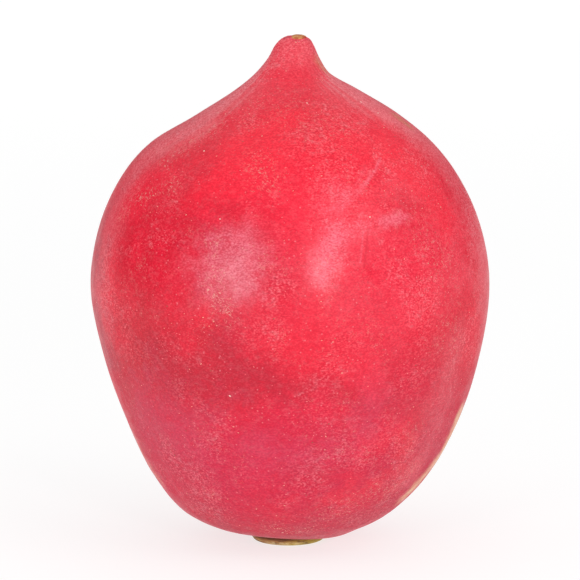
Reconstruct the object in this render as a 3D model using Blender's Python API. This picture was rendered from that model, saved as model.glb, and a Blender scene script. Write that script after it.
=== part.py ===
"""A large round radish, topped and set down on the cut of its crown, with the root tip up.

It grew as one piece, so it is one solid: the swollen root, the hollow-sided neck that runs up to the
broken root tip, and the crown below, where the leaf stalks were cut off flush in one flat cut.
"""

import math

import bmesh
import bpy
from mathutils import Matrix, Vector

# Driving dimensions, in metres
WIDTH = 0.0858
HEIGHT = 0.1096
DEPTH_SHARE = 0.97  # front to back, over side to side
CROWN_RADIUS = 0.0073  # of the cut that the radish stands on

# The outline, from the crown's edge up to the broken root tip. Each point is its half width, as a
# share of half the width, its height, as a share of the height, and how far the root leans to the
# side there, as a share of half the width.
OUTLINE = (
    (0.177, 0.012, 0.005),  # edge of the skin round the crown
    (0.312, 0.020, -0.002),
    (0.524, 0.060, -0.014),
    (0.702, 0.138, 0.003),
    (0.837, 0.243, 0.014),
    (0.939, 0.361, 0.009),
    (1.000, 0.507, 0.000),  # widest
    (0.951, 0.630, 0.000),
    (0.839, 0.725, 0.000),
    (0.711, 0.785, 0.007),
    (0.513, 0.841, 0.037),  # the shoulder turns hollow
    (0.315, 0.890, 0.035),
    (0.184, 0.925, 0.012),
    (0.128, 0.954, 0.018),  # neck of the root tip
    (0.093, 0.982, 0.021),
    (0.051, 1.000, 0.024),  # edge of the broken end
)
STEPS_PER_SPAN = 3  # rings between one outline point and the next
SEGMENTS = 64  # round each ring

# The skin hangs lower on the right of the crown than on its left, and the slope dies out up the root
BASE_SLOPE = 0.11
BASE_SLOPE_REACH = 0.0035

# The root isn't quite round: it swells and falls in towards the front and the back. Each row is a
# size as a share of the radius, how many swellings there are round it, where they start, and how
# far they turn from the crown to the tip, in radians.
SWELLINGS = (
    (0.016, 2, 0.9, 1.4),
    (0.012, 3, 2.2, -2.6),
    (0.006, 5, 0.4, 3.1),
)

# The crown: a stub with a rim all round it, and in its cut face the ends of the leaf stalks. The
# soft core between them has dried and sunk a little.
RIM_WIDTH = 0.0008
CORE_FACE = 0.0004  # height of the sunken core above the cut
CREASE_HEIGHT = 0.0017  # the crease between the skin's edge and the stub
CREASE_RADIUS = 0.0068
STALKS = 13
GOLDEN_ANGLE = math.pi * (3 - math.sqrt(5))
STALK_HALF_WIDTH = 0.0021  # round the crown, for the oldest and outermost
STALK_HALF_DEPTH = 0.0012  # towards the crown's middle
YOUNGEST_SHARE = 0.6  # size of the innermost stalk, over the outermost
STALK_SIDES = 14
STALK_TOP = 0.0032  # inside the root
BUD_SHARE = 1.4  # room that the bud takes in the middle, in stalks
STALK_SPLAY = math.radians(16)  # how far the outermost leans out
BUD_RADIUS = 0.0013  # the growing point in the middle
CUT_DEPTH = 0.004  # what the knife takes off, and more

# The broken root tip: the skin's edge turns in over a shallow hollow
TIP_LIP_WIDTH = 0.0004
TIP_LIP_DROP = 0.0001
TIP_HOLLOW = 0.00035

SKIN_RED = (0.72, 0.045, 0.085, 1.0)
CROWN_OLIVE = (0.26, 0.19, 0.06, 1.0)
TIP_BROWN = (0.34, 0.15, 0.05, 1.0)


def clear_scene():
    """Removes whatever the scene starts with."""
    for obj in list(bpy.data.objects):
        bpy.data.objects.remove(obj)


def material(name, colour, roughness):
    """A plain dull surface of that colour."""
    made = bpy.data.materials.new(name)
    made.use_nodes = True
    shader = made.node_tree.nodes["Principled BSDF"]
    shader.inputs["Base Color"].default_value = colour
    shader.inputs["Roughness"].default_value = roughness
    shader.inputs["Metallic"].default_value = 0.0
    made.diffuse_color = colour
    return made


def curve_point(before, start, end, after, share):
    """The point at that share of the way from start to end, on a smooth curve through all four.

    It is a Catmull-Rom curve with its knots spaced by the root of the distance, which doesn't
    overshoot where the outline's points are close together.
    """
    knots = [0.0]
    for a, b in ((before, start), (start, end), (end, after)):
        knots.append(knots[-1] + math.sqrt((b - a).length))
    t = knots[1] + share * (knots[2] - knots[1])

    def between(a, b, low, high):
        return a.lerp(b, (t - knots[low]) / (knots[high] - knots[low]))

    first = between(before, start, 0, 1)
    middle = between(start, end, 1, 2)
    last = between(end, after, 2, 3)
    return between(between(first, middle, 0, 2), between(middle, last, 1, 3), 1, 2)


def smooth_outline():
    """(half width, height, lean) of every ring of the skin, in metres, from the crown up."""
    half = WIDTH / 2
    points = [Vector((w * half, h * HEIGHT, lean * half)) for w, h, lean in OUTLINE]
    points = [2 * points[0] - points[1], *points, 2 * points[-1] - points[-2]]
    rings = []
    for i in range(1, len(points) - 2):
        for step in range(STEPS_PER_SPAN):
            rings.append(curve_point(*points[i - 1 : i + 3], step / STEPS_PER_SPAN))
    rings.append(points[-2])
    return rings


def swell(angle, height):
    """How much wider than round the root is there. Nothing at the sides, where the outline is."""
    level = height / HEIGHT
    fade = math.sin(math.pi * level) * math.sin(angle) ** 2
    return 1 + fade * sum(
        size * math.sin(count * angle + start + turn * level)
        for size, count, start, turn in SWELLINGS
    )


def base_drop(x, height):
    """How much lower the skin hangs there, beside an upright root's."""
    fade = max(0.0, 1 - height / BASE_SLOPE_REACH) ** 2
    return BASE_SLOPE * x * fade


def add_ring(bm, half_width, height, lean):
    """A ring of vertices round the root at that height. The crown's stub hangs straight."""
    is_skin = height >= OUTLINE[0][1] * HEIGHT
    ring = []
    for i in range(SEGMENTS):
        angle = 2 * math.pi * i / SEGMENTS
        radius = half_width * swell(angle, height)
        x = lean + radius * math.cos(angle)
        y = DEPTH_SHARE * radius * math.sin(angle)
        z = height - base_drop(x, height) if is_skin else height
        ring.append(bm.verts.new((x, y, z)))
    return ring


def close_ring(bm, ring, height, lean, upwards):
    """A fan of faces from the ring to a point in its middle."""
    pole = bm.verts.new((lean, 0, height))
    for a, b in zip(ring, ring[1:] + ring[:1]):
        bm.faces.new((a, b, pole) if upwards else (b, a, pole))


def add_root(skin):
    """The root as one closed skin of rings, from the crown's core to the hollow in the broken tip."""
    outline = smooth_outline()
    crown_lean = outline[0].z
    tip = outline[-1]
    rim_inside = CROWN_RADIUS - RIM_WIDTH
    rings = [
        (rim_inside - CORE_FACE, CORE_FACE, crown_lean),
        (rim_inside, -CORE_FACE, crown_lean),
        (CROWN_RADIUS, -CORE_FACE, crown_lean),
        (CROWN_RADIUS, CORE_FACE, crown_lean),
        (CREASE_RADIUS, CREASE_HEIGHT, crown_lean),
        *outline,
        (tip.x - TIP_LIP_WIDTH, tip.y - TIP_LIP_DROP, tip.z),
    ]
    bm = bmesh.new()
    built = [add_ring(bm, *ring) for ring in rings]
    for low, high in zip(built, built[1:]):
        for i in range(SEGMENTS):
            j = (i + 1) % SEGMENTS
            bm.faces.new((low[i], low[j], high[j], high[i]))
    close_ring(bm, built[0], CORE_FACE, crown_lean, upwards=False)
    close_ring(bm, built[-1], tip.y - TIP_HOLLOW, tip.z, upwards=True)
    mesh = bpy.data.meshes.new("radish")
    bm.to_mesh(mesh)
    bm.free()
    mesh.materials.append(skin)
    root = bpy.data.objects.new("radish", mesh)
    bpy.context.scene.collection.objects.link(root)
    return root


def add_stalk(collection, name, centre, half_width, half_depth, turn, splay):
    """An oval peg from inside the root to below the cut, leaning out from the crown's middle."""
    bm = bmesh.new()
    bmesh.ops.create_cone(
        bm,
        cap_ends=True,
        segments=STALK_SIDES,
        radius1=1.0,
        radius2=1.0,
        depth=STALK_TOP + CUT_DEPTH / 2,
    )
    low_end = -CUT_DEPTH / 2
    middle = (STALK_TOP + low_end) / 2
    place = (
        Matrix.Translation((*centre, 0))
        @ Matrix.Rotation(turn, 4, "Z")
        @ Matrix.Rotation(-splay, 4, "Y")
        @ Matrix.Translation((0, 0, middle))
        @ Matrix.Diagonal((half_depth, half_width, 1, 1))
    )
    bm.transform(place)
    mesh = bpy.data.meshes.new(name)
    bm.to_mesh(mesh)
    bm.free()
    stalk = bpy.data.objects.new(name, mesh)
    collection.objects.link(stalk)


def add_stalks(collection, lean):
    """The leaf stalks in the order they grew, each a golden angle round from the last."""
    reach = CROWN_RADIUS - STALK_HALF_DEPTH
    for i in range(STALKS):
        age = (i + 1) / STALKS
        turn = i * GOLDEN_ANGLE
        distance = reach * math.sqrt((i + BUD_SHARE) / (STALKS - 1 + BUD_SHARE))
        size = YOUNGEST_SHARE + (1 - YOUNGEST_SHARE) * age
        centre = (lean + distance * math.cos(turn), distance * math.sin(turn))
        half_sizes = (STALK_HALF_WIDTH * size, STALK_HALF_DEPTH * size)
        add_stalk(collection, f"stalk_{i}", centre, *half_sizes, turn, STALK_SPLAY * age)
    add_stalk(collection, "bud", (lean, 0), BUD_RADIUS, BUD_RADIUS, 0, 0)


def boolean(target, operation, **operand):
    """Joins the target to other shapes or cuts it with one, for good."""
    modifier = target.modifiers.new(operation.lower(), "BOOLEAN")
    modifier.operation = operation
    modifier.solver = "EXACT"
    for name, value in operand.items():
        setattr(modifier, name, value)
    graph = bpy.context.evaluated_depsgraph_get()
    joined = bpy.data.meshes.new_from_object(target.evaluated_get(graph))
    target.modifiers.clear()
    target.data = joined


def fuse_stalks(root):
    """Joins the stalks to the root, so that they are one solid with it."""
    stalks = bpy.data.collections.new("stalks")
    bpy.context.scene.collection.children.link(stalks)
    add_stalks(stalks, OUTLINE[0][2] * WIDTH / 2)
    boolean(root, "UNION", operand_type="COLLECTION", collection=stalks)
    for stalk in list(stalks.objects):
        bpy.data.objects.remove(stalk)
    bpy.data.collections.remove(stalks)


def cut_flush(root):
    """One flat cut across the crown, at height zero: the flat spot that the radish stands on."""
    bpy.ops.mesh.primitive_cube_add(size=1, location=(0, 0, -CUT_DEPTH / 2))
    slab = bpy.context.object
    slab.scale = (4 * CROWN_RADIUS, 4 * CROWN_RADIUS, CUT_DEPTH)
    boolean(root, "DIFFERENCE", object=slab)
    bpy.data.objects.remove(slab)


def centre_over_origin(root):
    """Moves the mesh sideways so that the middle of its box is over the origin."""
    corners = [Vector(corner) for corner in root.bound_box]
    middle = sum(corners, Vector()) / len(corners)
    root.data.transform(Matrix.Translation((-middle.x, -middle.y, 0)))


def finish_surface(root, crown, tip):
    """Gives the cut crown and the broken tip their own colours, and shades the skin smooth."""
    mesh = root.data
    mesh.materials.append(crown)
    mesh.materials.append(tip)
    skin_edge, edge_height, lean = (value * WIDTH / 2 for value in OUTLINE[0])
    for face in mesh.polygons:
        across = math.hypot(face.center.x - lean, face.center.y)
        if face.center.z < 2 * edge_height and across < skin_edge:
            face.material_index = 1
        elif face.center.z > HEIGHT - TIP_HOLLOW:
            face.material_index = 2
    mesh.shade_smooth()
    mesh.set_sharp_from_angle(angle=math.radians(40))


def main():
    clear_scene()
    root = add_root(material("radish_skin", SKIN_RED, 0.45))
    fuse_stalks(root)
    cut_flush(root)
    centre_over_origin(root)
    crown = material("cut_crown", CROWN_OLIVE, 0.75)
    finish_surface(root, crown, material("broken_tip", TIP_BROWN, 0.8))


main()
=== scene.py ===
# %% [markdown]
# This lesson dresses a large red radish. It stands on the flat cut of its crown, with the stub of its
# root tip up. The plain model of it is loaded first and never changes: it says how big the radish is
# and where it stands. The finer pieces below are then made inside its outline and take its place.

# %% The plain model, as a frame
import math

import bpy
from mathutils import Matrix, Vector
from mathutils.bvhtree import BVHTree


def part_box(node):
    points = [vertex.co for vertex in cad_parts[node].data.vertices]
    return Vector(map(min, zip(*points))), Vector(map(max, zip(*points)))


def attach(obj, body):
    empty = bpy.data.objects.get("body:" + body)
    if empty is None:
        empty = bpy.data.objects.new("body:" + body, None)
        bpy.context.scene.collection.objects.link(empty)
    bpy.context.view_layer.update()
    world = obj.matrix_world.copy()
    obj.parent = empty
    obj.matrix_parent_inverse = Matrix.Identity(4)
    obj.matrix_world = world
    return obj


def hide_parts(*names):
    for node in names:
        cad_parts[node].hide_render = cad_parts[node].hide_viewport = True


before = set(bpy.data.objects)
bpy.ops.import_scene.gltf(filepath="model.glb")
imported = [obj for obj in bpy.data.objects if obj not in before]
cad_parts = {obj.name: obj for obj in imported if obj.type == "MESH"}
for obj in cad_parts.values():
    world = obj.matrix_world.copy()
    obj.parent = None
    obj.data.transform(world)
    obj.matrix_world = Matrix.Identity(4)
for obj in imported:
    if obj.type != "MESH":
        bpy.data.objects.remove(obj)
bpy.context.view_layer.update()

low, high = (Vector(corner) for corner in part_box("radish"))
WIDTH = high.x - low.x
HEIGHT = high.z - low.z
MM = 0.001
print(f"the radish is {WIDTH / MM:.1f} mm wide and {HEIGHT / MM:.1f} mm tall")

# %% [markdown]
# A colour on a screen isn't the share of light that a surface sends back. Colours here are written
# as they would look on a screen, from 0 to 255, because that is how an eye compares them, and this
# helper turns them into the shares that Blender works with. The scene is shown without a film look,
# so that a red stays the red that was asked for.


# %% Colours
def tint(red, green, blue):
    """A colour as Blender wants it, from the numbers that a screen shows."""

    def share(value):
        value /= 255
        return value / 12.92 if value <= 0.04045 else ((value + 0.055) / 1.055) ** 2.4

    return (share(red), share(green), share(blue), 1.0)


bpy.context.scene.view_settings.view_transform = "Standard"
bpy.context.scene.view_settings.look = "None"
print("a mid red sends back", [round(value, 3) for value in tint(231, 73, 89)])

# %% [markdown]
# The camera comes before the pieces, because some marks on the skin are placed by where they are in
# the photograph, and that needs the camera. The cut crown shows as a thin lens, whose height over its
# width says that the camera looked about nine degrees down on it. A long lens from four fifths of a
# metre away keeps the sides from bulging. The size of a pixel at the radish then sets the lens.

# %% Camera
CAMERA_DISTANCE = 0.8
CAMERA_ELEVATION = math.radians(9)
PHOTO_SIZE = 580  # pixels, both ways
PIXEL = 0.2152 * MM  # what one pixel of the photograph spans at the radish
AIM = Vector((0, 0, 54.6 * MM))
FRONT = Vector((0, -math.cos(CAMERA_ELEVATION), math.sin(CAMERA_ELEVATION)))  # to the camera
SENSOR = 36.0


def new_object(name, data):
    """An object of that name in the scene, with that mesh, camera or light."""
    thing = bpy.data.objects.new(name, data)
    bpy.context.scene.collection.objects.link(thing)
    return thing


def add_camera():
    """The camera at the photograph's viewing angle, aimed at the radish's middle."""
    camera = new_object("camera", bpy.data.cameras.new("camera"))
    camera.data.sensor_width = SENSOR
    camera.data.lens = SENSOR * CAMERA_DISTANCE / (PHOTO_SIZE * PIXEL)
    camera.data.clip_start = 0.01
    camera.location = AIM + FRONT * CAMERA_DISTANCE
    camera.rotation_euler = (math.pi / 2 - CAMERA_ELEVATION, 0, 0)
    bpy.context.scene.camera = camera
    return camera


camera = add_camera()
print(f"lens {camera.data.lens:.0f} mm, camera at {tuple(round(v, 3) for v in camera.location)}")

# %% [markdown]
# The skin below is grown by Geometry Nodes and coloured by shader nodes, and both kinds of tree are
# built here in code. A small class keeps that short. It adds a node, sets it up, and plugs each input
# with either a number or another node's output.


# %% A short way to write node trees
class Tree:
    """A node tree, with short ways to add nodes. Each returns the new node's output."""

    def __init__(self, nodes):
        self.nodes = nodes

    def plug(self, value, socket):
        if isinstance(value, bpy.types.NodeSocket):
            self.nodes.links.new(value, socket)
        else:
            socket.default_value = value

    def add(self, kind, inputs=None, output=0, **settings):
        """A node of that kind. Inputs are named, or numbered where names repeat."""
        node = self.nodes.nodes.new(kind)
        for name, value in settings.items():
            setattr(node, name, value)
        for name, value in (inputs or {}).items():
            self.plug(value, node.inputs[name])
        return node.outputs[output]

    def maths(self, operation, *values):
        return self.add("ShaderNodeMath", dict(enumerate(values)), operation=operation)

    def vector(self, operation, *values, output=0):
        inputs = dict(enumerate(values))
        return self.add("ShaderNodeVectorMath", inputs, output, operation=operation)

    def total(self, *values):
        """All of the values added up."""
        added = values[0]
        for value in values[1:]:
            added = self.maths("ADD", added, value)
        return added

    def product(self, *values):
        """All of the values multiplied."""
        result = values[0]
        for value in values[1:]:
            result = self.maths("MULTIPLY", result, value)
        return result

    def fade(self, value, start, end, low=0.0, high=1.0):
        """Goes smoothly from low to high as the value goes from start to end."""
        inputs = {0: value, 1: start, 2: end, 3: low, 4: high}
        return self.add("ShaderNodeMapRange", inputs, interpolation_type="SMOOTHSTEP")

    def noise(self, position, size, detail=2.0, roughness=0.5, distortion=0.0):
        """Cloudy noise whose patches are about that size, in metres."""
        inputs = {"Vector": position, "Scale": 1 / size, "Detail": detail}
        inputs |= {"Roughness": roughness, "Distortion": distortion}
        return self.add("ShaderNodeTexNoise", inputs, "Fac")

    def stretched(self, position, x, y, z):
        """The position with each axis multiplied, which squeezes a pattern along it."""
        return self.vector("MULTIPLY", position, (x, y, z))

    def part(self, vector, axis):
        """One number of a vector: its x, y or z, as axis 0, 1 or 2."""
        return self.add("ShaderNodeSeparateXYZ", {0: vector}, axis)

    def scaled(self, vector, factor):
        """The vector made longer or shorter by a factor."""
        result = self.vector("SCALE", vector)
        self.plug(factor, result.node.inputs["Scale"])
        return result


print("tree helper ready")

# %% [markdown]
# A Geometry Nodes tree is a recipe with named amounts. The next helpers make an empty recipe, run it
# on a starting shape, and keep the result as a plain mesh, so that nothing live is left on a piece.


# %% Recipes, and how they are run
SOCKETS = {int: "NodeSocketInt", float: "NodeSocketFloat", bpy.types.Material: "NodeSocketMaterial"}


def recipe(name, amounts):
    """An empty Geometry Nodes tree with those named inputs, and its inputs as outputs to use."""
    group = bpy.data.node_groups.new(name, "GeometryNodeTree")
    group.interface.new_socket("Geometry", in_out="OUTPUT", socket_type="NodeSocketGeometry")
    group.interface.new_socket("Geometry", in_out="INPUT", socket_type="NodeSocketGeometry")
    for label, amount in amounts.items():
        kind = SOCKETS[type(amount)]
        socket = group.interface.new_socket(label, in_out="INPUT", socket_type=kind)
        if kind != "NodeSocketMaterial":
            socket.default_value = amount
    tree = Tree(group)
    given = group.nodes.new("NodeGroupInput")
    tree.given = {socket.name: socket for socket in given.outputs if socket.name}
    return tree


def serve(tree, geometry, material):
    """Ends the recipe: every copy becomes real, is shaded smooth and gets the material."""
    real = tree.add("GeometryNodeRealizeInstances", {"Geometry": geometry})
    smooth = tree.add("GeometryNodeSetShadeSmooth", {"Geometry": real})
    painted = tree.add("GeometryNodeSetMaterial", {"Geometry": smooth, "Material": material})
    end = tree.nodes.nodes.new("NodeGroupOutput")
    tree.plug(painted, end.inputs[0])


def run(name, tree, start, amounts):
    """Runs the recipe on the starting mesh, and returns the result as a plain mesh object."""
    piece = new_object(name, start)
    modifier = piece.modifiers.new("recipe", "NODES")
    modifier.node_group = tree.nodes
    for item in tree.nodes.interface.items_tree:
        if item.item_type == "SOCKET" and item.in_out == "INPUT" and item.name in amounts:
            modifier[item.identifier] = amounts[item.name]
    graph = bpy.context.evaluated_depsgraph_get()
    mesh = bpy.data.meshes.new_from_object(
        piece.evaluated_get(graph), preserve_all_data_layers=True, depsgraph=graph
    )
    piece.modifiers.clear()
    piece.data = mesh
    print(f"{name}: {len(mesh.polygons)} faces")
    return piece


print("recipe helpers ready")

# %% [markdown]
# A radish is a turned shape that grew: seen from the front it has one outline, and seen from above it
# is almost round. So the skin starts as that outline, drawn through a few measured points. Each point
# has its half width, its height and how far the root leans there. The curve through them is a
# Catmull-Rom curve with its knots spaced by the root of the distance, which doesn't swing wide where
# the points are close together. The outline goes on inside the crown and the tip, to close the skin.

# %% Outline of the root
OUTLINE = (
    (0.177, 0.012, 0.005),  # edge of the skin round the crown
    (0.312, 0.020, -0.002),
    (0.524, 0.060, -0.014),
    (0.702, 0.138, 0.003),
    (0.837, 0.243, 0.014),
    (0.939, 0.361, 0.009),
    (1.000, 0.507, 0.000),  # widest
    (0.951, 0.630, 0.000),
    (0.839, 0.725, 0.000),
    (0.711, 0.785, 0.007),
    (0.513, 0.841, 0.037),  # the shoulder turns hollow
    (0.315, 0.890, 0.035),
    (0.184, 0.925, 0.012),
    (0.128, 0.954, 0.018),  # neck of the root tip
    (0.096, 0.979, 0.021),
    (0.072, 0.991, 0.026),
    (0.038, 0.998, 0.028),  # edge of the broken end
)
STEPS = 16  # on the curve, from one point to the next
CREASE = Vector((6.8 * MM, 1.7 * MM, 0))  # half width and height where the skin meets the crown
INSIDE_CROWN = 3.0 * MM
TIP_HOLLOW = 0.35 * MM


def curve_point(before, start, end, after, share):
    """The point at that share of the way from start to end, on the curve through all four."""
    knots = [0.0]
    for a, b in ((before, start), (start, end), (end, after)):
        knots.append(knots[-1] + math.sqrt((b - a).length))
    t = knots[1] + share * (knots[2] - knots[1])

    def between(a, b, low_knot, high_knot):
        return a.lerp(b, (t - knots[low_knot]) / (knots[high_knot] - knots[low_knot]))

    first = between(before, start, 0, 1)
    middle = between(start, end, 1, 2)
    last = between(end, after, 2, 3)
    return between(between(first, middle, 0, 2), between(middle, last, 1, 3), 1, 2)


def smooth_outline():
    """(half width, height, lean) along the skin, from the crown's edge to the broken end."""
    half = WIDTH / 2
    points = [Vector((w * half, h * HEIGHT, lean * half)) for w, h, lean in OUTLINE]
    points = [2 * points[0] - points[1], *points, 2 * points[-1] - points[-2]]
    curve = []
    for i in range(1, len(points) - 2):
        for step in range(STEPS):
            curve.append(curve_point(*points[i - 1 : i + 3], step / STEPS))
    return [*curve, points[-2]]


outline = smooth_outline()
crown_lean = outline[0].z
tip = outline[-1]
print(f"{len(outline)} points from {outline[0].y / MM:.1f} to {tip.y / MM:.1f} mm high")

# %% [markdown]
# Now the skin itself. A flat grid is rolled up: one way across it is the way round the root, and the
# other way is the distance along the outline. That is one short recipe, where turning the outline
# with a Screw modifier would leave no place for the swellings. The root isn't quite round, its base
# hangs a little lower on the right, and the broken end slopes down to the front.

# %% Recipe for the skin: the root rolled up
SWELLINGS = (
    (0.016, 2, 0.9, 1.4),  # share of the radius, swellings round it, where they start, their turn
    (0.012, 3, 2.2, -2.6),
    (0.006, 5, 0.4, 3.1),
)
SKIN_AMOUNTS = {
    "Around": 401,
    "Along": 233,
    "Depth share": 0.97,
    "Base slope": 0.2,
    "Base slope reach": 3.5 * MM,
    "Front lift": 0.45 * MM,
    "Tip slope": 0.4,
    "Lump depth": 0.5 * MM,
    "Wrinkle depth": 0.3 * MM,
    "Ring depth": 0.1 * MM,
    "Grain depth": 0.05 * MM,
}


def chain_mesh(name, points):
    """A chain of edges through (half width, lean, height) points."""
    mesh = bpy.data.meshes.new(name)
    mesh.from_pydata(points, [(i, i + 1) for i in range(len(points) - 1)], [])
    return mesh


def outline_mesh():
    """The outline as a chain of edges, closed to the axis inside the crown and inside the tip."""
    chain = [
        Vector((0, INSIDE_CROWN, crown_lean)),
        Vector((CREASE.x * 0.6, INSIDE_CROWN, crown_lean)),
        Vector((CREASE.x, CREASE.y, crown_lean)),
        *outline,
        Vector((0, tip.y - TIP_HOLLOW, tip.z)),
    ]
    return chain_mesh("outline", [(point.x, point.z, point.y) for point in chain])


def rolled_up(t):
    """The grid with its points moved to the root's surface."""
    given = t.given
    size = {"Size X": 1.0, "Size Y": 1.0}
    counts = {"Vertices X": given["Around"], "Vertices Y": given["Along"]}
    grid = t.add("GeometryNodeMeshGrid", size | counts)
    place = t.part(t.add("GeometryNodeInputPosition"), 0)
    angle = t.product(t.maths("ADD", place, 0.5), 2 * math.pi)
    along = t.maths("ADD", place.node.outputs[1], 0.5)
    curve = t.add("GeometryNodeMeshToCurve", {"Mesh": given["Geometry"]})
    on_outline = t.add(
        "GeometryNodeSampleCurve", {"Curves": curve, "Factor": along}, "Position", mode="FACTOR"
    )
    half_width, lean, height = t.part(on_outline, 0).node.outputs
    level = t.maths("DIVIDE", height, HEIGHT)
    sine = t.maths("SINE", angle)
    swellings = []
    for amount, count, start, turn in SWELLINGS:
        phase = t.total(t.product(angle, float(count)), t.product(level, turn), start)
        swellings.append(t.product(t.maths("SINE", phase), amount))
    fade = t.product(t.maths("SINE", t.product(level, math.pi)), sine, sine)
    radius = t.product(half_width, t.maths("ADD", t.product(t.total(*swellings), fade), 1.0))
    x = t.total(lean, t.product(radius, t.maths("COSINE", angle)))
    y = t.product(radius, sine, given["Depth share"])
    near = t.maths("SUBTRACT", 1.0, t.maths("DIVIDE", height, given["Base slope reach"]))
    near = t.maths("MAXIMUM", near, 0.0)
    front = t.maths("MAXIMUM", t.product(sine, -1.0), 0.0)
    lift = t.product(given["Front lift"], front, t.fade(height, 12 * MM, 2 * MM))
    to_tip = t.fade(height, 0.93 * HEIGHT, 0.99 * HEIGHT)
    drop = t.product(given["Tip slope"], t.maths("MINIMUM", y, 0.0), to_tip)
    z = t.total(height, lift, drop, t.product(given["Base slope"], x, near, near, -1.0))
    moved = t.add("ShaderNodeCombineXYZ", {0: x, 1: y, 2: z})
    rolled = t.add("GeometryNodeSetPosition", {"Geometry": grid, "Position": moved})
    return t.add("GeometryNodeMergeByDistance", {"Geometry": rolled, "Distance": 0.001 * MM})


print(f"the skin's grid is {SKIN_AMOUNTS['Around']} by {SKIN_AMOUNTS['Along']} points")

# %% [markdown]
# A second pass moves the skin in and out by fractions of a millimetre: broad lumps, lengthwise
# wrinkles that gather at the neck, and faint rings low down, where the skin stretched as the root
# swelled. Real points move, so the relief also shows at the edge and in an exported mesh.


# %% Recipe for the skin: its relief
def with_relief(t, mesh):
    """The skin's lumps, wrinkles and rings, in and out from the outline."""
    given = t.given
    position = t.add("GeometryNodeInputPosition")
    height = t.part(position, 2)
    outward = t.vector("NORMALIZE", t.stretched(position, 1, 1, 0))
    lengthwise = t.vector(
        "ADD", t.stretched(outward, 7 * MM, 7 * MM, 0), t.stretched(position, 0, 0, 0.05)
    )
    level_rings = t.stretched(position, 0.06, 0.06, 1)
    forms = (
        (t.noise(position, 24 * MM, 1.0), given["Lump depth"], 1.0),
        (t.noise(lengthwise, 1 * MM), given["Wrinkle depth"], t.fade(height, 70 * MM, 103 * MM)),
        (t.noise(level_rings, 2.2 * MM), given["Ring depth"], t.fade(height, 48 * MM, 14 * MM)),
        (t.noise(position, 2.4 * MM, 3.0), given["Grain depth"], 1.0),
    )
    moves = [t.product(t.maths("SUBTRACT", form, 0.5), depth, where) for form, depth, where in forms]
    off_ends = t.product(t.fade(height, 2 * MM, 6 * MM), t.fade(height, HEIGHT, HEIGHT - 2 * MM))
    move = t.product(t.total(*moves), off_ends)
    offset = t.scaled(t.add("GeometryNodeInputNormal"), move)
    return t.add("GeometryNodeSetPosition", {"Geometry": mesh, "Offset": offset})


def skin_recipe(amounts):
    t = recipe("radish_skin_shape", amounts)
    serve(t, with_relief(t, rolled_up(t)), t.given["Skin"])
    return t


print("skin recipe ready")

# %% [markdown]
# The recipe is run once and its result kept as a plain mesh. The lumps leave it a hair off in size,
# so it is scaled into the plain model's box, less a little room for the pores and the scar.


# %% The skin, built and fitted
def painted(name):
    """A new material with an empty look, to be painted later."""
    made = bpy.data.materials.new(name)
    made.use_nodes = True
    return made


PORE_ROOM = 0.02 * MM  # left free all round
SCAR_ROOM = 0.22 * MM  # left free on the top
SKIN_AMOUNTS["Skin"] = painted("radish_skin")
skin = run("radish_root", skin_recipe(SKIN_AMOUNTS), outline_mesh(), SKIN_AMOUNTS)

skin_low, skin_high = (Vector(skin.bound_box[i]) for i in (0, 6))
room = Vector((WIDTH, high.y - low.y)) - 2 * Vector((PORE_ROOM, PORE_ROOM))
fit = Vector((room.x / (skin_high.x - skin_low.x), room.y / (skin_high.y - skin_low.y), 1))
fit.z = (HEIGHT - SCAR_ROOM) / skin_high.z
middle = (skin_low + skin_high) / 2
to_box = Matrix.Diagonal((*fit, 1)) @ Matrix.Translation((-middle.x, -middle.y, 0))
skin.data.transform(to_box)
axis_x = crown_lean - middle.x  # where the crown's axis is now
print("scaled by", tuple(round(value, 4) for value in fit))
print("moved by", tuple(round(value / MM, 3) for value in to_box.translation), "mm")

# %% [markdown]
# Many marks on the skin are chance: a scuff, a dull patch, one bright pore. They are read off the
# photograph, and a ray from the camera through the pixel finds the place on the skin. So each mark
# lies on the surface itself, and stays there from any side. A ray that just passes the skin by takes
# the nearest point of it, for marks on the very edge.

# %% From a pixel of the photograph to the skin
surface = BVHTree.FromObject(skin, bpy.context.evaluated_depsgraph_get())


def on_skin(x, y):
    """The point of the skin that the photograph shows at that pixel, and the way the skin faces."""
    side = SENSOR / camera.data.lens / PHOTO_SIZE
    ray = Vector(((x - PHOTO_SIZE / 2) * side, (PHOTO_SIZE / 2 - y) * side, -1))
    ray.rotate(camera.rotation_euler)
    way = ray.normalized()
    place, facing, *_ = surface.ray_cast(camera.location, way)
    if place is None:
        beside = camera.location + way * (AIM - camera.location).dot(way)
        place, facing, *_ = surface.find_nearest(beside)
    return place, facing


for pixel in ((290, 290), (204, 151), (283, 533)):
    print(pixel, "is at", tuple(round(value / MM, 1) for value in on_skin(*pixel)[0]), "mm")

# %% [markdown]
# Paint for the pieces is mixed from noise of many sizes. One step that repeats is to mix two colours
# by a share, and another is to find how near a line across the skin is, which makes scuffs and
# patches. A last one plugs colour, roughness and relief into the shader.


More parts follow.
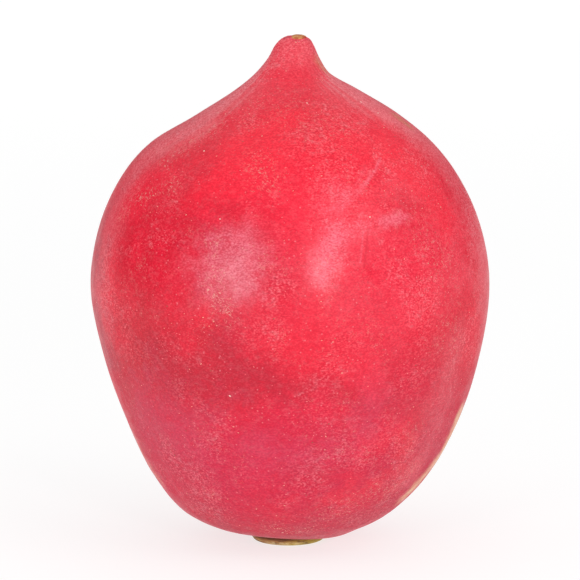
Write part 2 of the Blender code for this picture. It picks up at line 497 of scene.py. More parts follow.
# %% A short way to paint
class Paint(Tree):
    """A material's node tree, with ways to mix colours."""

    def __init__(self, material):
        super().__init__(material.node_tree)
        self.shader = self.nodes.nodes["Principled BSDF"]
        self.position = self.add("ShaderNodeTexCoord", output="Object")
        self.height = self.part(self.position, 2)

    def mix(self, share, first, second, blend="MIX"):
        node = self.nodes.nodes.new("ShaderNodeMix")
        node.data_type = "RGBA"
        node.blend_type = blend
        for value, index in ((share, 0), (first, 6), (second, 7)):
            self.plug(value, node.inputs[index])
        return node.outputs[2]

    def finish(self, colour, roughness, relief=None, depth=1.0, strength=1.0):
        """Gives the shader its colour, its roughness and, if wanted, a relief raised by bump."""
        self.plug(colour, self.shader.inputs["Base Color"])
        self.plug(roughness, self.shader.inputs["Roughness"])
        if relief is not None:
            inputs = {"Height": relief, "Distance": depth, "Strength": strength}
            self.plug(self.add("ShaderNodeBump", inputs), self.shader.inputs["Normal"])

    def clouds(self, size, start, end, detail=3.0, roughness=0.6, distortion=0.0):
        """Noise of that patch size, drawn apart so that it is 0 below start and 1 above end."""
        return self.fade(self.noise(self.position, size, detail, roughness, distortion), start, end)

    def from_path(self, points):
        """The distance from the line through those points, or from the only point."""
        distances = []
        for start, end in zip(points, points[1:] or points):
            out = self.vector("SUBTRACT", self.position, tuple(start))
            way = end - start
            if way.length > 0:
                share = self.vector("DOT_PRODUCT", out, tuple(way / way.length_squared), output=1)
                share = self.maths("MINIMUM", self.maths("MAXIMUM", share, 0.0), 1.0)
                out = self.vector("SUBTRACT", out, self.scaled(tuple(way), share))
            distances.append(self.vector("LENGTH", out, output=1))
        nearest = distances[0]
        for distance in distances[1:]:
            nearest = self.maths("MINIMUM", nearest, distance)
        return nearest


print("paint helper ready")

# %% [markdown]
# A red radish isn't one red. The pigment lies in a thin layer under the skin, so where the skin
# stretched it is thin and pale, and where it rubbed against soil it is dull and brownish. Low down,
# by the leaves, it turns towards crimson and magenta. After these colours come the patches that
# the photograph happens to show. Each is a soft line across the skin with a reach and a share, since
# a few such lines are easier to change than an image.

# %% Colours of the skin, and where they lie
SCARLET = tint(238, 10, 50)
CRIMSON = tint(216, 6, 44)
MAGENTA = tint(200, 16, 60)
DEEP_CRIMSON = tint(190, 4, 34)
DULL_ROSE = tint(194, 62, 74)
PALE_ROSE = tint(236, 132, 142)
PEACH = tint(240, 190, 150)
GREEN_TINGE = tint(176, 150, 84)
PALE_PINK = tint(244, 130, 150)
DUST = tint(222, 136, 144)
# pale pink for painted sheen on the flanks
PAINTED_SHEEN = tint(228, 98, 110)
BEIGE_DUST = tint(226, 146, 136)
# pale pink for painted sheen on the neck
PAINTED_NECK_SHEEN = tint(232, 110, 120)
# paler pink for painted sheen on the shoulders
PAINTED_SHOULDER_SHEEN = tint(240, 134, 142)
SHADED_RED = tint(172, 34, 58)
PATCHES = (
    # pixels that it runs through, reach in millimetres, colour, share
    # deeper red on the left flank: partly the skin's own colour, partly painted shade where light
    # falls off
    (((124, 270), (122, 310), (138, 410)), 18, DEEP_CRIMSON, 0.5),
    (((150, 220), (205, 200)), 13, DEEP_CRIMSON, 0.15),
    (((150, 345), (250, 355)), 17, tint(198, 4, 36), 0.6),
    (((240, 338), (262, 372), (300, 420)), 6, tint(180, 10, 50), 0.4),
    (((180, 375), (330, 385)), 15, tint(186, 10, 42), 0.82),
    (((300, 358), (352, 372)), 9, SCARLET, 0.5),
    (((150, 420), (330, 440)), 15, tint(206, 60, 94), 0.45),
    (((160, 492), (300, 500)), 13, tint(212, 12, 58), 0.55),
    (((270, 135), (395, 150)), 20, SCARLET, 0.9),
    (((200, 150), (300, 118)), 15, tint(212, 4, 40), 0.7),
    (((405, 185), (448, 225)), 13, tint(248, 84, 98), 0.5),
    (((340, 245), (430, 255), (350, 315)), 17, tint(244, 62, 84), 0.4),
    (((232, 262), (240, 282)), 12, tint(196, 30, 62), 0.65),
    (((276, 320), (330, 350)), 10, tint(228, 8, 46), 0.65),
    (((330, 498), (402, 470)), 12, tint(238, 40, 60), 0.45),
    (((385, 148), (432, 205)), 9, tint(248, 30, 56), 0.65),
    (((262, 190), (320, 215)), 11, tint(248, 34, 62), 0.4),
    (((250, 146), (345, 158)), 17, tint(246, 4, 46), 0.75),
    (((150, 500), (215, 470)), 12, tint(204, 20, 66), 0.4),
)
PAINTED_HIGHLIGHTS = (
    # the same, for painted highlights, partly over pale bloom, which are grainy
    (((214, 262), (234, 250), (244, 280)), 7.5, tint(232, 134, 152), 0.3),
    (((248, 236), (256, 246)), 7, PALE_PINK, 0.1),
    (((196, 270), (206, 290)), 9, PALE_PINK, 0.1),
    (((331, 244), (325, 270)), 5, PALE_PINK, 0.36),
    (((384, 222), (404, 217)), 2.6, PALE_PINK, 0.36),
    (((338, 192), (332, 212)), 6, PALE_PINK, 0.1),
    (((345, 236), (362, 226)), 3.5, PALE_PINK, 0.16),
)
SCRATCHES_AND_GLINTS = (
    # the same, for fine lines: the pale ones are painted glints along scratches
    (((380, 158), (375, 171), (365, 184)), 0.6, PALE_PINK, 0.3),
    (((365, 184), (352, 200), (340, 210)), 1.0, PALE_PINK, 0.16),
    (((366, 168), (356, 184), (342, 196)), 0.7, PALE_PINK, 0.14),
    (((356, 190), (340, 204), (326, 212)), 0.7, PALE_PINK, 0.14),
    # a crease: painted shade in it, and a painted glint along its edge
    (((368, 230), (366, 250), (364, 268)), 0.45, DEEP_CRIMSON, 0.3),
    (((363, 232), (362, 246), (360, 262)), 0.45, PALE_PINK, 0.2),
    (((206, 240), (222, 235), (244, 236)), 0.45, PALE_PINK, 0.22),
    (((210, 248), (226, 243), (248, 245)), 0.45, PALE_PINK, 0.2),
    (((306, 126), (305, 150)), 0.5, DEEP_CRIMSON, 0.25),
)
WORMS = (
    # the same, for places full of short beige worm-like lines
    (((125, 212), (140, 195), (176, 184)), 3, BEIGE_DUST, 1.0),
    (((168, 158), (186, 146)), 4, BEIGE_DUST, 1.0),
    (((194, 142), (212, 128)), 4, BEIGE_DUST, 1.0),
    (((258, 158), (266, 178)), 5, BEIGE_DUST, 0.8),
    (((212, 244), (214, 290), (228, 320)), 4, BEIGE_DUST, 1.0),
    (((280, 110), (330, 125)), 10, BEIGE_DUST, 0.5),
    (((410, 220), (440, 260), (450, 330)), 8, BEIGE_DUST, 0.5),
    (((270, 528), (300, 532)), 5, BEIGE_DUST, 0.8),
    (((330, 515), (380, 495)), 8, BEIGE_DUST, 0.8),
)
PALE_EDGES = (
    # the same: red thinning out to white, small marks, and painted shade along the left edge
    (((456, 345), (438, 425), (406, 480)), 7, tint(230, 112, 122), 0.33),
    (((459, 415), (447, 443), (429, 470), (405, 496)), 4.4, PEACH, 0.95),
    (((137, 442), (157, 480)), 3.0, PEACH, 0.25),
    (((284, 38.6), (290, 36.8)), 0.6, tint(168, 18, 44), 0.8),
    (((305.5, 38), (309.5, 40.5)), 0.6, tint(168, 18, 44), 0.8),
    (((293, 41), (299, 41.5)), 0.35, tint(150, 24, 40), 0.8),
    (((398, 117), (408, 125)), 2.5, GREEN_TINGE, 0.45),
    (((318, 62), (325, 70)), 2.5, GREEN_TINGE, 0.3),
    # darker, greyer red along the left edge: painted shade with painted sheen
    (((98, 235), (97, 290), (105, 350)), 14, tint(174, 56, 72), 0.72),
)
print(len(PATCHES) + len(PAINTED_HIGHLIGHTS) + len(SCRATCHES_AND_GLINTS) + len(WORMS) + len(PALE_EDGES), "places")

# %% [markdown]
# Each layer is mixed over the last: clouds of two reds, magenta low down, dull clouds, then the
# placed patches. Darker red low down by the crown is painted shade. The flanks and the neck carry a
# pale haze that is painted sheen. How squarely the skin faces the front picks them out, since haze
# that followed the view would slide round as one walks about.

# %% Large patches of colour
RAGGED = 2.6  # how far noise pushes a patch's edge in and out, as a share of its reach


def patches(t, colour, table, ragged, strength=1.0):
    """Each patch of the table laid over the colour, soft and ragged at its edge."""
    for pixels, reach, patch, share in table:
        away = t.from_path([on_skin(*pixel)[0] for pixel in pixels])
        edge = t.total(t.product(away, 1 / (reach * MM)), ragged)
        laid = t.product(t.fade(edge, 1.0, 0.0, 0.0, share), strength)
        colour = t.mix(laid, colour, patch)
    return colour


def to_front(t):
    """How squarely the skin faces the way that the photograph was taken from: 0 at the flanks."""
    facing = t.add("ShaderNodeTexCoord", output="Normal")
    return t.vector("DOT_PRODUCT", facing, tuple(FRONT), output=1)


def reds(t, ragged):
    """Clouds of two reds, magenta by the leaves, dull clouds, and the placed patches."""
    colour = t.mix(t.clouds(26 * MM, 0.35, 0.65), CRIMSON, SCARLET)
    low_down = t.product(t.fade(t.height, 58 * MM, 16 * MM), t.clouds(18 * MM, 0.2, 0.6))
    colour = t.mix(low_down, colour, MAGENTA)
    dull = t.clouds(15 * MM, 0.48, 0.75, 4.0, 0.65, 0.4)
    colour = t.mix(t.product(dull, 0.35), colour, DULL_ROSE)
    return patches(t, colour, PATCHES, ragged)


def painted_sheen_on_neck(t, colour, across, sand):
    """Painted sheen on the sides of the neck, and thinner over its front near the tip."""
    in_front = t.fade(t.height, 100 * MM, 106 * MM, 0.1, 0.45)
    aside = t.fade(t.maths("ABSOLUTE", across), 3 * MM, 11 * MM, in_front, 1.0)
    neck = t.product(t.fade(t.height, 92 * MM, 106 * MM), aside)
    return t.mix(t.product(neck, t.fade(sand, 0.25, 0.75, 0.5, 1.0)), colour, PAINTED_NECK_SHEEN)


def painted_sheen_on_flanks(t, colour, across, sand, ragged):
    """Painted sheen where the skin turns away from the front, narrower low down and on the right."""
    narrower = t.total(
        t.fade(t.height, 62 * MM, 28 * MM, 0.0, 0.32),
        t.fade(across, 10 * MM, 38 * MM, 0.0, 0.11),
        t.fade(t.height, 76 * MM, 94 * MM, 0.0, 0.06),
    )
    front = to_front(t)
    facing = t.total(front, narrower, t.product(ragged, 0.08))
    behind = t.total(front, t.product(ragged, 0.12))
    flanks = t.product(t.fade(facing, 0.62, 0.4), t.fade(behind, -0.5, 0.0, 0.25, 1.0))
    sheen_colour = t.mix(t.fade(t.height, 76 * MM, 96 * MM), PAINTED_SHEEN, PAINTED_SHOULDER_SHEEN)
    return t.mix(t.product(flanks, t.fade(sand, 0.25, 0.75, 0.35, 0.9)), colour, sheen_colour)


def large_patches(t, sand):
    """All the large colours, from the reds below to the pale edges on top."""
    ragged = t.total(t.noise(t.position, 9 * MM, 5.0, 0.7), t.noise(t.position, 22 * MM), -1.0)
    ragged = t.product(ragged, RAGGED)
    across = t.part(t.position, 0)
    # painted sheen on the neck and on the flanks
    colour = painted_sheen_on_neck(t, reds(t, ragged), across, sand)
    colour = painted_sheen_on_flanks(t, colour, across, sand, ragged)
    # Painted shade: darker red low down by the crown, more on the left.
    to_left = t.fade(across, -6 * MM, 16 * MM, 0.6, 0.15)
    under = t.product(t.fade(t.height, 16 * MM, 2 * MM), to_left)
    colour = t.mix(under, colour, SHADED_RED)
    torn = t.noise(t.stretched(t.position, 1, 1, 0.6), 1.3 * MM, 4.0, 0.7)
    torn = t.fade(torn, 0.34, 0.52, 0.45, 1.0)
    return patches(t, colour, PALE_EDGES, t.product(ragged, 0.7), torn)


print("large colours ready")

# %% [markdown]
# Seen close, the skin is grainy. A sandy noise darkens, lightens and dusts it, and a coarser one
# makes it look brushed. Short worm-like lines come from where a noise passes its middle value, and
# pale dots from some cells of a Voronoi pattern. All are finer than the mesh, so they rise by bump.


# %% Fine speckle
def dusted(t, colour, sand):
    """Sandy and brushed grain, thicker in the dusty places."""
    dusty = t.fade(t.noise(t.position, 13 * MM, 5.0, 0.68), 0.42, 0.7)
    shade = t.product(t.maths("SUBTRACT", sand, 0.5), t.fade(dusty, 0.0, 1.0, 0.6, 1.1))
    colour = t.mix(1.0, colour, t.maths("ADD", shade, 1.0), "MULTIPLY")
    grains = t.product(t.fade(sand, 0.46, 0.72), t.fade(dusty, 0.0, 1.0, 0.06, 0.4))
    colour = t.mix(grains, colour, DUST)
    brushed = t.noise(t.stretched(t.position, 0.75, 0.75, 1.25), 1.2 * MM, 4.0, 0.7)
    rubbed = t.product(t.fade(brushed, 0.46, 0.74), t.fade(dusty, 0.0, 1.0, 0.12, 0.34))
    colour = t.mix(rubbed, colour, DUST)
    return t.mix(t.fade(brushed, 0.5, 0.28, 0.0, 0.4), colour, CRIMSON)


def speckle(t, colour, sand):
    """Painted highlights, scratches with painted glints, short worm-like lines and dots over the
    grain. Also their relief.
    """
    colour = dusted(t, colour, sand)
    worm = t.noise(t.position, 0.8 * MM, 1.0, 0.5, 0.6)
    lines = t.fade(t.maths("ABSOLUTE", t.maths("SUBTRACT", worm, 0.5)), 0.04, 0.0)
    worms = t.product(lines, t.fade(t.noise(t.position, 0.9 * MM, 1.0), 0.42, 0.55))
    ragged = t.product(t.maths("SUBTRACT", t.noise(t.position, 5 * MM, 5.0, 0.7), 0.5), 2.0)
    # painted highlights, grainy, where the two window lights reflect
    colour = patches(t, colour, PAINTED_HIGHLIGHTS, ragged, t.fade(sand, 0.3, 0.7, 0.5, 1.6))
    # fine lines, the pale ones painted glints along scratches
    colour = patches(t, colour, SCRATCHES_AND_GLINTS, t.product(ragged, 0.8), t.fade(sand, 0.3, 0.6, 0.4, 1.3))
    clusters = t.fade(t.noise(t.position, 7 * MM, 4.0, 0.65), 0.5, 0.68, 0.0, 0.5)
    colour = t.mix(t.product(worms, clusters), colour, BEIGE_DUST)
    colour = patches(t, colour, WORMS, ragged, t.product(worms, 0.9))
    cells = t.add("ShaderNodeTexVoronoi", {"Vector": t.position, "Scale": 1 / (1.1 * MM)}, "Distance")
    lot = t.part(cells.node.outputs["Color"], 0)
    dots = t.product(t.fade(cells, 0.22, 0.08), t.maths("GREATER_THAN", lot, 0.72))
    colour = t.mix(t.product(dots, 0.5), colour, PALE_ROSE)
    broad = t.noise(t.position, 3.0 * MM, 2.0)
    heights = ((sand, 0.02), (lines, 0.006), (dots, 0.012), (worm, 0.03), (broad, 0.06))  # mm
    return colour, t.total(*(t.product(form, height * MM) for form, height in heights))


print("speckle ready")

# %% [markdown]
# The skin is satin, a little rougher in some patches than in others. The specular level is low on
# the flanks, which carry painted sheen instead. An export may drop that link, so the socket also
# holds a middle value.

# %% Finish of the skin
SAND_SIZE = 0.36 * MM
MIDDLE_GLOSS = 0.35


def paint_skin(material):
    t = Paint(material)
    sand = t.noise(t.stretched(t.position, 0.75, 0.75, 1.15), SAND_SIZE, 1.0, 0.6)
    colour, relief = speckle(t, large_patches(t, sand), sand)
    t.finish(colour, t.fade(t.noise(t.position, 3 * MM, 3.0), 0.3, 0.7, 0.28, 0.4), relief)
    t.shader.inputs["IOR"].default_value = 1.4
    bare = t.fade(t.maths("ABSOLUTE", to_front(t)), 0.25, 0.75, 0.05, 0.5)
    t.shader.inputs["Specular IOR Level"].default_value = MIDDLE_GLOSS
    t.plug(bare, t.shader.inputs["Specular IOR Level"])
    print(f"{material.name}: {len(t.nodes.nodes)} nodes")


paint_skin(SKIN_AMOUNTS["Skin"])

# %% [markdown]
# The skin breathes through lenticels, small corky pores that stand a little proud and run crosswise.
# They repeat over the whole surface, more in some places than others, so they are scattered by a
# recipe: points on the skin, thinned out by noise, each with a low dome turned to lie level.

# %% Recipe for the lenticels
PORE_AMOUNTS = {
    "Spacing": 0.55 * MM,
    "Most per square metre": 1100000.0,
    "Length": 0.25 * MM,
    "Rise": 0.03 * MM,
    "Seed": 4,
}


def add_domes(t, points, facing, turn, length, rise):
    """A low oval dome of a few dozen faces on each point, facing that way."""
    dome = t.add("GeometryNodeMeshUVSphere", {"Segments": 6, "Rings": 3, "Radius": 1.0}, "Mesh")
    upright = t.add("FunctionNodeAlignRotationToVector", {"Vector": facing}, axis="Z")
    level = t.vector("CROSS_PRODUCT", facing, (0, 0, 1))
    aligned = {"Rotation": upright, "Vector": level}
    lying = t.add("FunctionNodeAlignRotationToVector", aligned, axis="X", pivot_axis="Z")
    turned = t.add("ShaderNodeCombineXYZ", {2: turn})
    spun = t.add("FunctionNodeRotateRotation", {0: lying, 1: turned}, rotation_space="LOCAL")
    size = t.add("ShaderNodeCombineXYZ", {0: length, 1: t.product(length, 0.5), 2: rise})
    copies = {"Points": points, "Instance": dome, "Rotation": spun, "Scale": size}
    return t.add("GeometryNodeInstanceOnPoints", copies)


def drawn(t, low_value, high_value, seed):
    """A number drawn for each point, between those two."""
    inputs = {2: low_value, 3: high_value, "Seed": seed}
    return t.add("FunctionNodeRandomValue", inputs, 1, data_type="FLOAT")


def pore_recipe(amounts):
    t = recipe("lenticels", amounts)
    given = t.given
    position = t.add("GeometryNodeInputPosition")
    height = t.part(position, 2)
    clusters = t.fade(t.noise(position, 10 * MM, 4.0, 0.6), 0.53, 0.68, 0.1, 1.0)
    clear_ends = t.product(t.fade(height, 3 * MM, 6 * MM), t.fade(height, HEIGHT, HEIGHT - 4 * MM))
    inputs = {"Mesh": given["Geometry"], "Distance Min": given["Spacing"], "Seed": given["Seed"]}
    inputs |= {"Density Max": given["Most per square metre"]}
    inputs |= {"Density Factor": t.product(clusters, clear_ends)}
    scatter = t.add(
        "GeometryNodeDistributePointsOnFaces", inputs, "Points", distribute_method="POISSON"
    )
    tones = {"Geometry": scatter, "Name": "tone", "Value": drawn(t, 0.0, 1.0, 9)}
    marked = t.add("GeometryNodeStoreNamedAttribute", tones, domain="POINT")
    length = t.product(drawn(t, 0.35, 1.0, 5), given["Length"])
    facing = scatter.node.outputs["Normal"]
    domes = add_domes(t, marked, facing, drawn(t, -0.9, 0.9, 7), length, given["Rise"])
    serve(t, domes, given["Pore"])
    return t


print("lenticel recipe ready")

# %% [markdown]
# Lenticels differ in colour, so the recipe gave each a tone, a number drawn once for its dome. One
# material that reads the tone is lighter than a material for each colour.


# %% Paint for the lenticels
def paint_pores(material):
    """Most are pale rose, some beige, and a few brown like cork. Past 1 they are palest."""
    t = Paint(material)
    tone = t.add("ShaderNodeAttribute", output="Fac", attribute_name="tone")
    colour = t.mix(t.fade(tone, 0.2, 0.8), tint(226, 62, 82), tint(240, 122, 128))
    colour = t.mix(t.fade(tone, 0.8, 0.86), colour, tint(240, 164, 146))
    colour = t.mix(t.fade(tone, 0.94, 0.96), colour, tint(150, 84, 62))
    colour = t.mix(t.fade(tone, 1.1, 1.2), colour, tint(250, 214, 200))
    t.finish(colour, 0.5)
    return material


PORE_AMOUNTS["Pore"] = paint_pores(painted("lenticel"))
pores = run("lenticels", pore_recipe(PORE_AMOUNTS), skin.data.copy(), PORE_AMOUNTS)

# %% [markdown]
# A few marks stand out in the photograph, such as one bright pore on the left shoulder. They are the
# same dome, larger, and each is placed by its pixel. Their tone goes on past 1 for the palest.

# %% Marks placed one by one
PALE, BEIGE, BROWN = 1.3, 0.9, 0.98
MARKS = (
    # across and down in the photograph, length in millimetres, turn in degrees, tone
    (204, 151, 0.6, 0, PALE),
    (295.8, 42.3, 0.5, 0, BEIGE),
    (282.7, 532.7, 0.55, 20, PALE),
    (285.5, 530.5, 0.4, 60, BEIGE),
    (274.5, 528.5, 0.35, 0, BEIGE),
    (277.5, 528.5, 0.35, 0, BEIGE),
    (287, 533.5, 0.35, 0, BEIGE),
    (305, 528.5, 0.4, 0, BEIGE),
    (441, 209, 0.4, 0, BROWN),
    (448, 225, 0.35, 0, BROWN),
    (465, 238, 0.4, 30, BROWN),
    (333, 342, 0.5, 0, BEIGE),
    (342, 373, 0.5, 0, BEIGE),
    (230, 396, 0.6, -30, PALE),
    (370, 217, 0.5, 0, PALE),
    (201, 364, 0.5, 50, BEIGE),
    (286, 71, 0.35, 20, BEIGE),
    (307, 103, 0.5, -20, PALE),
    (361, 102, 0.6, 10, PALE),
    (378, 113, 0.6, 20, PALE),
    (262, 136, 0.5, 70, BEIGE),
    (220, 219, 0.5, 0, PALE),
)
MARK_VALUES = (("length", 2, 0.5 * MM), ("turn", 3, math.radians(1)), ("tone", 4, 1))
MARK_AMOUNTS = {"Rise": 0.06 * MM}


def marks_mesh():
    """A point for each mark, which knows the way the skin faces there, its size and its tone."""
    mesh = bpy.data.meshes.new("marks")
    found = [on_skin(x, y) for x, y, *_ in MARKS]
    mesh.from_pydata([place for place, facing in found], [], [])
    facings = mesh.attributes.new("facing", "FLOAT_VECTOR", "POINT")
    for i, (place, facing) in enumerate(found):
        facings.data[i].vector = facing
    for name, column, scale in MARK_VALUES:
        values = mesh.attributes.new(name, "FLOAT", "POINT")
        for i, mark in enumerate(MARKS):
            values.data[i].value = mark[column] * scale
    return mesh


def marks_recipe(amounts):
    t = recipe("placed_marks", amounts)

    def known(name, kind="FLOAT"):
        return t.add("GeometryNodeInputNamedAttribute", {"Name": name}, data_type=kind)

    points = t.add("GeometryNodeMeshToPoints", {"Mesh": t.given["Geometry"]})
    facing = known("facing", "FLOAT_VECTOR")
    domes = add_domes(t, points, facing, known("turn"), known("length"), t.given["Rise"])
    serve(t, domes, t.given["Pore"])
    return t


MARK_AMOUNTS["Pore"] = PORE_AMOUNTS["Pore"]
marks = run("placed_marks", marks_recipe(MARK_AMOUNTS), marks_mesh(), MARK_AMOUNTS)

# %% [markdown]
# The crown is where the leaves grew. They were cut off flush, and the cut is what the radish stands
# on. What is left is a low stub: a corky rind round it, brown and olive, and in its cut face the ends
# of the leaf stalks. The rind is a turned shape, so it is drawn and rolled up as the skin was.

# %% The crown's rind
RIND_OUTLINE = (
    (0.0, 0.45),
    (3.5, 0.40),
    (6.1, 0.35),
    (6.6, 0.10),
    (7.0, 0.00),
    (7.4, 0.00),
    (7.7, 0.14),
    (8.0, 0.45),
    (8.15, 0.80),
    (8.1, 1.25),
    (7.8, 1.80),
    (7.2, 2.50),
    (0.0, 2.60),
)  # half width and height, in millimetres
RIND_SHIFT = -0.55 * MM  # the cut isn't quite under the middle of the root
RIND_AMOUNTS = {
    "Around": 201,
    "Along": 65,
    "Depth share": 1.06,
    "Base slope": 0.0,
    "Base slope reach": 1.0 * MM,
    "Front lift": 0.0,
    "Tip slope": 0.0,
    "Fibre depth": 0.25 * MM,
}


def rind_recipe(amounts):
    t = recipe("crown_rind_shape", amounts)
    rolled = rolled_up(t)
    position = t.add("GeometryNodeInputPosition")
    height = t.part(position, 2)
    ragged = t.noise(t.stretched(position, 1, 1, 0.4), 1.1 * MM, 3.0, 0.6)
    off_cut = t.fade(height, 0.0, 0.3 * MM, 0.3, 1.0)
    inwards = t.product(ragged, t.given["Fibre depth"], off_cut, -1.0)
    offset = t.scaled(t.vector("NORMALIZE", t.stretched(position, 1, 1, 0)), inwards)
    moved = t.add("GeometryNodeSetPosition", {"Geometry": rolled, "Offset": offset})
    serve(t, moved, t.given["Crown"])
    return t


print("rind recipe ready")

# %% [markdown]
# Cut and dried, the crown has the colours of cork and old leaf. Noise squeezed along the height
# gives streaks that run round it, as its fibres do.


# %% Paint for the crown, and the rind built
def paint_crown(material):
    """Olive and ochre, with painted shade in dark brown under the skin's edge and pale streaks where
    the knife went.
    """
    t = Paint(material)
    across = t.part(t.position, 0)
    olive = tint(170, 146, 46)
    colour = t.mix(t.fade(across, -4 * MM, 4 * MM), tint(164, 116, 64), olive)
    streaks = t.noise(t.stretched(t.position, 1, 1, 5), 2.2 * MM, 4.0, 0.65)
    colour = t.mix(t.fade(streaks, 0.5, 0.72), colour, tint(190, 164, 80))
    colour = t.mix(t.fade(streaks, 0.5, 0.32), colour, tint(104, 70, 34))
    # Painted shade: dark brown on the rind's top, under the skin's edge, on the left.
    under = t.product(t.fade(t.height, 0.8 * MM, 1.4 * MM), t.fade(across, 6 * MM, -1 * MM))
    colour = t.mix(t.product(under, 0.85), colour, tint(88, 48, 28))
    cut = t.product(t.fade(t.height, 1.0 * MM, 0.6 * MM), t.clouds(1.6 * MM, 0.35, 0.55))
    cut = t.product(cut, t.fade(t.height, 0.05 * MM, 0.35 * MM, 0.3, 1.0))
    cut = t.product(cut, t.fade(across, -6 * MM, -4 * MM), t.fade(across, 4 * MM, 1 * MM))
    colour = t.mix(t.product(cut, 0.55), colour, tint(226, 204, 150))
    fibres = t.noise(t.stretched(t.position, 1, 1, 4), 0.7 * MM, 4.0, 0.6)
    t.finish(colour, 0.62, fibres, 0.2 * MM, 0.9)
    return material


crown_paint = paint_crown(painted("crown"))
RIND_AMOUNTS["Crown"] = crown_paint
rind_points = [(x * MM, crown_lean, z * MM) for x, z in RIND_OUTLINE]
rind = run("crown_rind", rind_recipe(RIND_AMOUNTS), chain_mesh("rind", rind_points), RIND_AMOUNTS)
rind.data.transform(Matrix.Translation((RIND_SHIFT - middle.x, -middle.y, 0)))

# %% [markdown]
# The stalks stood in the order they grew, each a golden angle round from the last, which is what
# makes the rows in a pine cone too. Their cut ends are alike but for size, the innermost being the
# youngest, so one end is copied by a recipe. Each is a low oval, a little dished where it dried.

# %% Recipe for the ends of the leaf stalks
GOLDEN_ANGLE = math.pi * (3 - math.sqrt(5))
END_AMOUNTS = {
    "Stalks": 13,
    "Reach": 6.0 * MM,
    "Bud share": 1.4,
    "Half width": 2.0 * MM,
    "Half depth": 1.1 * MM,
    "Youngest share": 0.6,
}
END_RINGS = ((0.35, 0.22), (0.72, 0.10), (0.9, 0.0), (1.0, 0.06), (1.0, 1.0))  # reach and height


def ringed_mesh(name, rings, sides, point):
    """A closed mesh of rings from the lowest up. The point function gets a ring's row and a turn."""
    turns = [2 * math.pi * i / sides for i in range(sides)]
    points = [point(ring, turn) for ring in rings for turn in turns]
    faces = [tuple(range(sides - 1, -1, -1))]
    for a in range(0, len(points) - sides, sides):
        for i in range(sides):
            j = (i + 1) % sides
            faces.append((a + i, a + j, a + sides + j, a + sides + i))
    faces.append(tuple(range(len(points) - sides, len(points))))
    mesh = bpy.data.meshes.new(name)
    mesh.from_pydata(points, [], faces)
    return mesh


def end_point(ring, turn):
    reach, height = ring
    return (reach * math.cos(turn), reach * math.sin(turn), height)


def stalk_recipe(amounts):
    t = recipe("stalk_ends", amounts)
    given = t.given
    number = t.add("GeometryNodeInputIndex")
    age = t.maths("DIVIDE", t.maths("ADD", number, 1.0), given["Stalks"])
    turn = t.product(number, GOLDEN_ANGLE)
    room = t.maths("ADD", number, given["Bud share"])
    most = t.total(given["Stalks"], given["Bud share"], -1.0)
    distance = t.product(given["Reach"], t.maths("SQRT", t.maths("DIVIDE", room, most)))
    x = t.product(distance, t.maths("COSINE", turn))
    y = t.product(distance, t.maths("SINE", turn))
    place = t.add("ShaderNodeCombineXYZ", {0: x, 1: y})
    points = t.add("GeometryNodePoints", {"Count": given["Stalks"], "Position": place})
    share = t.fade(age, 0.0, 1.0, given["Youngest share"], 1.0)
    sizes = {0: t.product(share, given["Half depth"]), 1: t.product(share, given["Half width"])}
    size = t.add("ShaderNodeCombineXYZ", sizes | {2: 1.0 * MM})
    turned = t.add("ShaderNodeCombineXYZ", {2: turn})
    copies = {"Points": points, "Instance": given["Geometry"], "Rotation": turned, "Scale": size}
    serve(t, t.add("GeometryNodeInstanceOnPoints", copies), given["Crown"])
    return t


END_AMOUNTS["Crown"] = crown_paint
one_end = ringed_mesh("stalk_end", END_RINGS, 14, end_point)
ends = run("stalk_ends", stalk_recipe(END_AMOUNTS), one_end, END_AMOUNTS)
ends.data.transform(Matrix.Translation((axis_x + RIND_SHIFT, -middle.y, 0)))

# %% [markdown]
# The root went on into the ground as a thin taproot, and broke off when the radish was pulled. The
# break has dried to a small brown scar at the top, tilted to the front. It is a low dome, made of
# rings as a stalk's end was, and it is let down until it ends at the radish's full height.

# %% The broken root tip
SCAR_AT = (297.8, 36.6)
SCAR_RADIUS = 1.7 * MM
SCAR_RISE = 0.3 * MM
SCAR_RINGS = ((1.0, -0.5), (0.97, 0.05), (0.8, 0.5), (0.5, 0.8), (0.2, 0.95))  # shares of both
SCAR_TILT = Vector((0.1, 0, 1.0))  # added to the way that the skin faces there


def scar_point(ring, turn):
    """A point of the scar, which isn't quite round."""
    share, rise = ring
    uneven = 1 + 0.05 * math.sin(3 * turn + 1) + 0.03 * math.sin(7 * turn)
    reach = share * SCAR_RADIUS * uneven
    return (reach * math.cos(turn), 0.9 * reach * math.sin(turn), rise * SCAR_RISE)


def paint_scar(material):
    t = Paint(material)
    colour = t.mix(t.clouds(0.9 * MM, 0.4, 0.6), tint(186, 84, 46), tint(206, 146, 84))
    t.finish(colour, 0.7, t.clouds(0.5 * MM, 0.3, 0.7), 0.1 * MM, 0.8)
    return material


scar = new_object("tip_scar", ringed_mesh("tip_scar", SCAR_RINGS, 36, scar_point))
scar.data.shade_smooth()
scar.data.materials.append(paint_scar(painted("tip_scar")))
scar_place, scar_facing = on_skin(*SCAR_AT)
way_up = (scar_facing + SCAR_TILT).normalized()
stand = Matrix.Translation(scar_place) @ way_up.to_track_quat("Z", "Y").to_matrix().to_4x4()
scar.data.transform(stand)
scar_top = max(vertex.co.z for vertex in scar.data.vertices)
scar.data.transform(Matrix.Translation((0, 0, min(0, HEIGHT - scar_top))))
print("the scar reached up to", round(scar_top / MM, 2), "mm")

# %% [markdown]
# The photograph is on white, in soft light. The floor is a wide grey disc that also glows by itself,
# so it stays near white and takes on little of the red. The world is brighter overhead than at eye
# level, where it would wash the flanks out.

# %% Floor and world
FLOOR_RADIUS = 4.0
FLOOR_GAP = 0.05 * MM
FLOOR_GREY = tint(150, 150, 150)
FLOOR_GLOW = 0.72
FAR_GLOW = 0.78
EYE_LEVEL_LIGHT = 0.18
OVERHEAD_LIGHT = 0.93


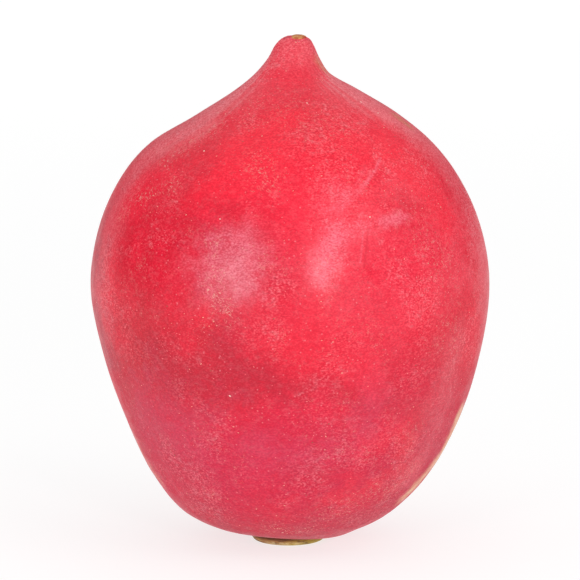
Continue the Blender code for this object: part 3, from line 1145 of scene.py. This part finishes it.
def add_floor():
    mesh = bpy.data.meshes.new("floor")
    sides = 96
    turns = [2 * math.pi * i / sides for i in range(sides)]
    rim = [(FLOOR_RADIUS * math.cos(turn), FLOOR_RADIUS * math.sin(turn), 0) for turn in turns]
    mesh.from_pydata(rim, [], [tuple(range(sides))])
    mesh.transform(Matrix.Translation((0, 0, low.z - FLOOR_GAP)))
    white = painted("floor")
    t = Paint(white)
    t.finish(FLOOR_GREY, 0.8)
    t.shader.inputs["Emission Color"].default_value = (1, 1, 1, 1)
    away = t.vector("LENGTH", t.position, output=1)
    t.plug(t.fade(away, 0.15, 1.6, FLOOR_GLOW, FAR_GLOW), t.shader.inputs["Emission Strength"])
    mesh.materials.append(white)
    new_object("floor", mesh)


def add_world(level, overhead):
    """Soft light from all round, of one strength at eye level and another straight overhead."""
    world = bpy.data.worlds.new("world")
    world.use_nodes = True
    back = world.node_tree.nodes["Background"]
    back.inputs["Color"].default_value = (1, 1, 1, 1)
    t = Tree(world.node_tree)
    way = t.add("ShaderNodeTexCoord", output="Generated")
    up = t.part(way, 2)
    t.plug(t.fade(up, 0.1, 0.9, level, overhead), back.inputs["Strength"])
    bpy.context.scene.world = world


add_floor()
add_world(EYE_LEVEL_LIGHT, OVERHEAD_LIGHT)
print(f"floor {2 * FLOOR_RADIUS:.0f} m across")

# %% [markdown]
# The two soft highlights are reflections of two window-like lights in front. A highlight's place on
# the skin gives its light's angle, and its size the light's size. A large weak light high on the
# right fills in the shoulder.

# %% Lights
LIGHTS = (
    # name, azimuth, elevation, distance, width and height, radiance
    ("left_window", -32, 8, 0.75, (0.17, 0.20), 11.8),
    ("right_window", 19, 12, 0.75, (0.10, 0.13), 25.0),
    ("key", 50, 36, 1.0, (0.6, 0.6), 1.4),
)


def add_light(name, azimuth, elevation, distance, size, radiance):
    """A soft light seen from the radish at those angles. Azimuth 0 is the camera's side."""
    lamp = bpy.data.lights.new(name, "AREA")
    lamp.shape = "RECTANGLE"
    lamp.size, lamp.size_y = size
    lamp.energy = radiance * math.pi * size[0] * size[1]
    light = new_object(name, lamp)
    turn, tilt = math.radians(azimuth), math.radians(elevation)
    way = Vector((math.sin(turn) * math.cos(tilt), -math.cos(turn) * math.cos(tilt), math.sin(tilt)))
    light.location = AIM + way * distance
    light.rotation_euler = way.to_track_quat("Z", "Y").to_euler()
    light.visible_camera = False


for light in LIGHTS:
    add_light(*light)
print(len(LIGHTS), "lights")

# %% [markdown]
# Last, the pieces are tied to the plain model. All grew as one, so all ride on one body and together
# take the plain radish's place.

# %% Which piece stands for what
for piece in (skin, rind, ends, scar, pores, marks):
    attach(piece, "root")
    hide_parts("radish")
